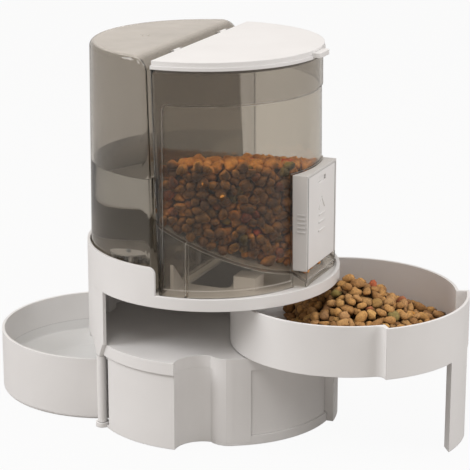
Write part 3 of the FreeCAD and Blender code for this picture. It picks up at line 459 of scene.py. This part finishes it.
def settleKibble(pick, groundAt, topAt, allowed, tries, rng):
    # each piece rolls to the lowest of some nearby places and rests on what is already there
    cell = 2.2 * kibbleLook["largest"]
    cells = {}
    down = []

    def restHeight(x, y, radius):
        z = groundAt(x, y) + radius * settling["sunk"]
        column, row = int(x // cell), int(y // cell)
        for i in (column - 1, column, column + 1):
            for j in (row - 1, row, row + 1):
                for px, py, pz, pr in cells.get((i, j), ()):
                    reach = (radius + pr) * settling["nesting"]
                    gap = reach * reach - (x - px) ** 2 - (y - py) ** 2
                    if gap > 0:
                        z = max(z, pz + math.sqrt(gap))
        return z

    missed = 0
    while missed < tries:
        radius = rng.uniform(kibbleLook["smallest"], kibbleLook["largest"])
        best = None
        for attempt in range(settling["places"]):
            x, y = pick(rng)
            if allowed(x, y, 0, radius):
                height = restHeight(x, y, radius)
                if best is None or height - topAt(x, y) < best[0] - topAt(best[1], best[2]):
                    best = (height, x, y)
        if best is None:
            continue
        step = settling["step"]
        for attempt in range(settling["rolls"]):
            turn = rng.uniform(0, 2 * math.pi)
            nx, ny = best[1] + step * math.cos(turn), best[2] + step * math.sin(turn)
            if allowed(nx, ny, 0, radius):
                height = restHeight(nx, ny, radius)
                if height < best[0]:
                    best = (height, nx, ny)
            step *= settling["shorter"]
        z, x, y = best
        if z > topAt(x, y) or not allowed(x, y, z, radius):
            missed += 1
            continue
        missed = 0
        cells.setdefault((int(x // cell), int(y // cell)), []).append((x, y, z, radius))
        down.append((x, y, z, radius))
    return down


def buildKibble(name, places, shapes, material, body, rng):
    bm = bmesh.new()
    for x, y, z, radius in places:
        mesh = rng.choice(shapes)
        tone = rng.random()
        mesh.attributes["kibbleTone"].data.foreach_set("value", [tone] * len(mesh.vertices))
        turn = Matrix.Rotation(rng.uniform(0, kibbleLook["turn"]), 4, "Z")
        turn = turn @ Matrix.Rotation(rng.gauss(0, kibbleLook["tip"]), 4, "X")
        turn = turn @ Matrix.Rotation(rng.gauss(0, kibbleLook["roll"]), 4, "Y")
        place = Matrix.Translation(Vector((x, y, z)) * mm) @ turn @ Matrix.Scale(radius * mm, 4)
        mesh.transform(place)
        bm.from_mesh(mesh)
        mesh.transform(place.inverted())
    makePiece(name, bm, material, body, angle=0)


def makeCrustGroup():
    # baked food: a tone for each piece, toasted crumb, pores, painted shade in the gaps between pieces, and a
    # tint that paints the light each heap gets
    group, given, result = newGroup("kibbleCrust", [("Tint", "NodeSocketVector", (1, 1, 1))], [
        ("Color", "NodeSocketColor"), ("Height", "NodeSocketFloat")])
    tone = addNode(group, "ShaderNodeAttribute", (-900, 300), attribute_name="kibbleTone")
    ramp = addNode(group, "ShaderNodeValToRGB", (-600, 300), {"Fac": tone.outputs["Fac"]})
    colours, stops = kibbleSkin["colours"], ramp.color_ramp.elements
    for stop, (position, colour) in ((stops[0], colours[0]), (stops[1], colours[-1])):
        stop.position, stop.color = position, colour + (1,)
    for position, colour in colours[1:-1]:
        stops.new(position).color = colour + (1,)
    point = addNode(group, "ShaderNodeTexCoord", (-900, -100)).outputs["Object"]
    crumb = addNode(group, "ShaderNodeTexNoise", (-600, 0), {
        "Vector": point, "Scale": kibbleSkin["crumb"], "Detail": kibbleSkin["crumbDetail"],
        "Roughness": kibbleSkin["crumbRoughness"]})
    pores = addNode(group, "ShaderNodeTexVoronoi", (-600, -300), {
        "Vector": point, "Scale": kibbleSkin["pores"]})
    toasted = addRange(group, (-350, 0), crumb.outputs["Fac"], kibbleSkin["crumbSpan"], kibbleSkin["toasted"])
    baked = addScale(group, (-50, 200), ramp.outputs["Color"], toasted)
    withPaintedLight = addNode(group, "ShaderNodeVectorMath", (80, 200), {
        0: baked, 1: given.outputs["Tint"]}, operation="MULTIPLY")
    gaps = addNode(group, "ShaderNodeAmbientOcclusion", (-350, 500), {
        "Distance": kibbleSkin["gap"]}, samples=6)
    dark = addRange(group, (-100, 500), gaps.outputs["AO"], kibbleSkin["gapSpan"], kibbleSkin["gapShade"])
    height = addMath(group, "MULTIPLY_ADD", (-350, -250), pores.outputs["Distance"], kibbleSkin["poreDepth"],
                     crumb.outputs["Fac"])
    deep = addScale(group, (200, 200), withPaintedLight.outputs["Vector"], dark)
    feed(group, result, {"Color": deep, "Height": height})
    return group


def kibbleMaterial(name, group, paintedTint):
    material, tree, output = newMaterial(name)
    crust = useGroup(tree, group, (-300, 0), Tint=paintedTint)
    bump = addBump(tree, (0, -250), kibbleSkin, crust.outputs["Height"])
    shader = addNode(tree, "ShaderNodeBsdfPrincipled", (500, 0), {
        "Base Color": crust.outputs["Color"], "Roughness": kibbleSkin["gloss"],
        "Normal": bump.outputs["Normal"]})
    feed(tree, output, {"Surface": shader.outputs["BSDF"]})
    return material


def fillBin(shapes, material, rng):
    # the bin's room: round wall, flat rear wall, sloping floor and the passage to the gate
    def allowed(x, y, z, radius):
        along, across = alongAndAcross(x, y)
        low = z if z else foodInBin["guess"]
        rear = foodInBin["rear"] - tower["lean"] * (low - tower["foot"]) / tower["height"]
        if along < rear + foodInBin["hug"] * radius:
            return False
        reach = towerRadius(low) - foodInBin["wall"] - foodInBin["hug"] * radius
        if math.hypot(x - tower["middleX"], y - tower["middleY"]) < reach:
            return True
        if z and z > foodInBin["slotTop"]:
            return False
        edge = foodInBin["behindGate"] - radius
        if z + foodInBin["underFoot"] * radius < foodInBin["gateFoot"]:
            edge = foodInBin["underGate"] - radius * foodInBin["spare"]     # clear of the gate as it slides
        low, high = foodInBin["slotLow"] + radius, foodInBin["slotHigh"] - radius
        return foodInBin["slotFrom"] < along < edge and low < across < high

    def groundAt(x, y):
        return foodInBin["floor"] - foodInBin["fall"] * alongAndAcross(x, y)[0] + foodInBin["skin"]

    def topAt(x, y):
        bumpy = foodInBin["dip"] * noise.noise(Vector((x, y, 0)) * foodInBin["dipScale"])
        return foodInBin["level"] + foodInBin["acrossX"] * x + foodInBin["acrossY"] * y + bumpy

    def pick(rng):
        return rng.uniform(*foodInBin["spanX"]), rng.uniform(*foodInBin["spanY"])

    places = settleKibble(pick, groundAt, topAt, allowed, foodInBin["tries"], rng)
    print("pieces of food in the bin:", len(places))
    buildKibble("binKibble", places, shapes, material, "bin", rng)


def fillTray(shapes, material, rng):
    middle = Vector(foodInTray["middle"])
    pinX, pinY = foodInTray["pin"]

    def allowed(x, y, z, radius):
        if (Vector((x, y)) - middle).length > foodInTray["radius"] - radius:
            return False
        if Vector((x - pinX, y - pinY)).length < foodInTray["pinRadius"] + radius:
            return False
        overDeck = math.hypot(x, y) < foodInTray["deck"] + radius
        return not (overDeck and z + radius > foodInTray["underDeck"])

    def groundAt(x, y):
        return foodInTray["floor"]

    def topAt(x, y):
        away = math.hypot(x - foodInTray["peakX"], y - foodInTray["peakY"])
        flare = foodInTray["flare"] * max(0.0, away - foodInTray["flareFrom"]) ** 2
        bumpy = foodInTray["dip"] * noise.noise(Vector((x, y, 4)) * foodInTray["dipScale"])
        top = foodInTray["peak"] - foodInTray["slope"] * away + flare + bumpy
        if math.hypot(x, y) < foodInTray["nearDeck"]:
            top = min(top, foodInTray["lowered"])
        return min(top, foodInTray["floor"] + (x - foodInTray["from"]))     # bare floor on the left

    def pick(rng):
        return rng.uniform(*foodInTray["spanX"]), rng.uniform(*foodInTray["spanY"])

    places = settleKibble(pick, groundAt, topAt, allowed, foodInTray["tries"], rng)
    print("pieces of food in the tray:", len(places))
    buildKibble("trayKibble", places, shapes, material, "food_tray", rng)


kibbleRng = random.Random(kibbleLook["seed"])
kibbleShapes = makeKibbleShapes(kibbleRng)
crustGroup = makeCrustGroup()
# one crust, with painted warm light for the food in the bin and painted shade for the food in the tray
fillBin(kibbleShapes, kibbleMaterial("kibbleInBinPaintedLight", crustGroup, kibbleSkin["binPaintedLight"]), kibbleRng)
fillTray(kibbleShapes, kibbleMaterial("kibbleInTrayPaintedShade", crustGroup, kibbleSkin["trayPaintedShade"]), kibbleRng)
for mesh in kibbleShapes:
    bpy.data.meshes.remove(mesh)
print("food poured")


# a gap below 0 wets the walls, so no air film shows
tankWater = {
    "floor": 137.4, "level": 233.5, "gap": -0.3, "wall": 2.2, "flat": -10.0, "corner": 2.6, "brim": 0.6,
}
trayWater = {
    "floor": 3.1, "level": 30.3, "gap": -0.3, "middle": (-97.58, 68.0, 0), "radius": 95.5,
    "dent": (-0.55, 2.35, 0), "dentRadius": 30.1,       # clears the leg's recess when the tray is folded in
    "foot": 3.0,
}


def roundEdges(bm, edges, offset, segments):
    bmesh.ops.bevel(bm, geom=edges, offset=offset * mm, segments=segments, affect="EDGES", profile=0.5,
                    material=-1)


def fillTank():
    low, high, inset = tankWater["floor"], tankWater["level"], tankWater["wall"]
    gap = tankWater["gap"]
    middle = Vector((tower["middleX"], tower["middleY"], (low + high) / 2)) * mm
    bm = bmesh.new()
    bmesh.ops.create_cone(bm, cap_ends=True, segments=160, radius1=(towerRadius(low) - inset - gap) * mm,
                          radius2=(towerRadius(high) - inset - gap) * mm, depth=(high - low) * mm,
                          matrix=Matrix.Translation(middle))
    slope = -tower["lean"] / tower["height"]
    edge = tankWater["flat"] + slope * (low - tower["foot"]) - inset - gap
    normal = (outletPoint(1, 0, 0) + Vector((0, 0, -slope)) * mm).normalized()
    cut = bmesh.ops.bisect_plane(bm, geom=bm.verts[:] + bm.edges[:] + bm.faces[:], dist=1e-7,
                                 plane_co=outletPoint(edge, 0, low), plane_no=normal, clear_outer=True)
    rim = [e for e in cut["geom_cut"] if isinstance(e, bmesh.types.BMEdge)]
    bmesh.ops.contextual_create(bm, geom=rim)
    corners = [e for e in bm.edges if abs(e.verts[0].co.z - e.verts[1].co.z) > 0.05
               and any(abs((f.normal.normalized() - normal).length) < 0.01 for f in e.link_faces)]
    roundEdges(bm, corners, tankWater["corner"], 5)
    surface = [e for e in bm.edges if all(v.co.z > (high - 0.01) * mm for v in e.verts)]
    roundEdges(bm, surface, tankWater["brim"], 3)
    bmesh.ops.recalc_face_normals(bm, faces=bm.faces)
    makePiece("tankWater", bm, finishes["water"], "tank", angle=30)


def fillWaterTray():
    low, high, gap = trayWater["floor"], trayWater["level"], trayWater["gap"]
    middle = Vector(trayWater["middle"]) * mm
    dent = Vector(trayWater["dent"]) * mm
    bm = bmesh.new()
    bmesh.ops.create_circle(bm, cap_ends=True, segments=200, radius=(trayWater["radius"] - gap) * mm,
                            matrix=Matrix.Translation(middle + Vector((0, 0, high * mm))))
    for vert in bm.verts:
        away = Vector((vert.co.x - dent.x, vert.co.y - dent.y, 0))
        if away.length < (trayWater["dentRadius"] + gap) * mm:
            moved = dent + away.normalized() * (trayWater["dentRadius"] + gap) * mm
            vert.co.x, vert.co.y = moved.x, moved.y
    grown = bmesh.ops.extrude_face_region(bm, geom=bm.faces[:])
    lower = [v for v in grown["geom"] if isinstance(v, bmesh.types.BMVert)]
    bmesh.ops.translate(bm, verts=lower, vec=Vector((0, 0, (low - high) * mm)))
    foot = [e for e in bm.edges if all(v.co.z < (low + 0.01) * mm for v in e.verts)]
    roundEdges(bm, foot, trayWater["foot"], 4)
    bmesh.ops.recalc_face_normals(bm, faces=bm.faces)
    makePiece("trayWater", bm, finishes["water"], "water_tray", angle=30)


fillTank()
fillWaterTray()
print("water filled")


gateMarks = {
    "face": 101.474, "across": -4.5, "low": 179.0,     # a generic arrow head over three bars
    "strokes": [((-6.5, 0), (6.5, 0)), ((-6.5, 7.5), (6.5, 7.5)), ((-6.5, 14), (6.5, 14)),
                ((-6.5, 19.5), (0, 29)), ((6.5, 19.5), (0, 29))],
    "stroke": 1.8, "proud": 0.45, "bevel": 0.12,
}


def makeGateMarks():
    bm = bmesh.new()
    face, middle, low = gateMarks["face"], gateMarks["across"], gateMarks["low"]
    out = outletPoint(1, 0, 0).normalized()
    for first, second in gateMarks["strokes"]:
        start = outletPoint(face, middle + first[0], low + first[1])
        end = outletPoint(face, middle + second[0], low + second[1])
        run = end - start
        across = run.normalized()
        turn = Matrix((across, out.cross(across), out)).transposed().to_4x4()
        size = Matrix.Diagonal((run.length + gateMarks["stroke"] * mm * 0.5, gateMarks["stroke"] * mm,
                                2 * gateMarks["proud"] * mm, 1))
        place = Matrix.Translation((start + end) / 2)
        bmesh.ops.create_cube(bm, size=1.0, matrix=place @ turn @ size)
    roundEdges(bm, bm.edges[:], gateMarks["bevel"], 2)
    piece = makePiece("gateMarks", bm, finishes["white"], "gate", angle=30)


makeGateMarks()
print("gate marked")


valveCoil = {"wire": 0.35, "turns": 6, "steps": 168, "sides": 8, "lift": 1.5}


def makeValveCoil():
    # stands for the solid coil
    low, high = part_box("valve_spring")
    middle = (low + high) / 2
    wire = valveCoil["wire"] * mm
    start = Vector((high.x - wire, middle.y, low.z + wire))
    climb = high.z - low.z - 2 * wire
    bm = bmesh.new()
    bmesh.ops.create_circle(bm, segments=valveCoil["sides"], radius=wire,
                            matrix=Matrix.Translation(start) @ Matrix.Rotation(math.radians(90), 4, "X"))
    bmesh.ops.spin(bm, geom=bm.verts[:] + bm.edges[:], cent=middle, axis=(0, 0, 1),
                   dvec=(0, 0, climb / valveCoil["steps"]), angle=math.tau * valveCoil["turns"],
                   steps=valveCoil["steps"])
    bmesh.ops.holes_fill(bm, edges=bm.edges[:], sides=valveCoil["sides"])
    bmesh.ops.recalc_face_normals(bm, faces=bm.faces)
    piece = makePiece("valveCoil", bm, finishes["steel"], "cap", angle=60)
    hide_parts("valve_spring")
    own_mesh(piece)


makeValveCoil()
print("valve coil wound")


studio = {
    "fill": 0.44, "warmth": (1.0, 0.945, 0.885, 1),     # world light on the object
    "gloss": 0.14,                                      # world light in the object's reflections
    "floorTone": (0.36, 0.345, 0.33, 1), "floorLift": 0.945, "floorGloss": 0.85, "floorSize": 12.0,
    "lamps": [
        ("leftSoftbox", (-1.85, -0.42, 1.35), 1.1, 27.0, (0.98, 0.98, 1.0)),
        ("rightSoftbox", (1.85, -0.5, 1.15), 1.1, 19.0, (0.98, 0.98, 1.0)),
        ("topSoftbox", (0.1, -0.1, 1.9), 1.2, 8.0, (1.0, 0.98, 0.97)),
        ("frontSoftbox", (-0.45, -1.55, 2.0), 0.9, 12.0, (1.0, 0.985, 0.975)),
    ],
    "aim": (0.0, 0.0, 0.12),
}
cameraView = {"place": (0.018418, -1.6, 0.625345), "tilt": 73.821, "lens": 146.33, "sensor": 36.0, "far": 50}


def seenDirectly(tree, place):
    # 1 for rays from the camera and through clear plastic, less for rays off gloss
    path = addNode(tree, "ShaderNodeLightPath", place)
    dimmed = addMath(tree, "MULTIPLY_ADD", (place[0] + 200, place[1]), path.outputs["Is Glossy Ray"],
                     studio["gloss"], path.outputs["Is Camera Ray"])
    return addMath(tree, "MAXIMUM", (place[0] + 400, place[1]), dimmed, path.outputs["Is Transmission Ray"])


def makeFloor():
    bm = bmesh.new()
    bmesh.ops.create_grid(bm, x_segments=1, y_segments=1, size=studio["floorSize"])
    mesh = bpy.data.meshes.new("floor")
    bm.to_mesh(mesh)
    bm.free()
    floor = bpy.data.objects.new("floor", mesh)
    bpy.context.collection.objects.link(floor)
    material, tree, output = newMaterial("paleFloor")
    shader = addNode(tree, "ShaderNodeBsdfPrincipled", (0, 0), {
        "Base Color": studio["floorTone"], "Roughness": studio["floorGloss"]})
    glow = addNode(tree, "ShaderNodeEmission", (0, -300))
    lift = addMath(tree, "MULTIPLY", (0, 300), seenDirectly(tree, (-600, 300)), studio["floorLift"])
    both = addNode(tree, "ShaderNodeMixShader", (400, 0), {
        "Fac": lift, 1: shader.outputs["BSDF"], 2: glow.outputs["Emission"]})
    feed(tree, output, {"Surface": both.outputs["Shader"]})
    mesh.materials.append(material)


def makeWorld():
    world = bpy.data.worlds.new("studioWorld")
    bpy.context.scene.world = world
    world.use_nodes = True
    tree = world.node_tree
    tree.nodes.clear()
    direct = seenDirectly(tree, (-700, 0))
    colour = addMix(tree, (0, 200), direct, studio["warmth"], (1, 1, 1, 1))
    level = addRange(tree, (0, 0), direct, (0.0, 1.0), (studio["fill"], 1.0))
    sky = addNode(tree, "ShaderNodeBackground", (300, 0), {"Color": colour, "Strength": level})
    addNode(tree, "ShaderNodeOutputWorld", (600, 0), {"Surface": sky.outputs["Background"]})


def makeLamps():
    for name, place, size, power, colour in studio["lamps"]:
        data = bpy.data.lights.new(name, "AREA")
        data.energy = power
        data.color = colour
        data.size = size
        lamp = bpy.data.objects.new(name, data)
        lamp.location = place
        lamp.rotation_euler = (Vector(studio["aim"]) - Vector(place)).to_track_quat("-Z", "Y").to_euler()
        bpy.context.collection.objects.link(lamp)


def makeCamera():
    data = bpy.data.cameras.new("camera")
    data.lens = cameraView["lens"]
    data.sensor_width = cameraView["sensor"]
    data.clip_end = cameraView["far"]
    camera = bpy.data.objects.new("camera", data)
    camera.location = cameraView["place"]
    camera.rotation_euler = (math.radians(cameraView["tilt"]), 0, 0)
    bpy.context.collection.objects.link(camera)
    bpy.context.scene.camera = camera


makeFloor()
makeWorld()
makeLamps()
makeCamera()
bpy.context.scene.view_settings.view_transform = "Standard"
print("studio lit")
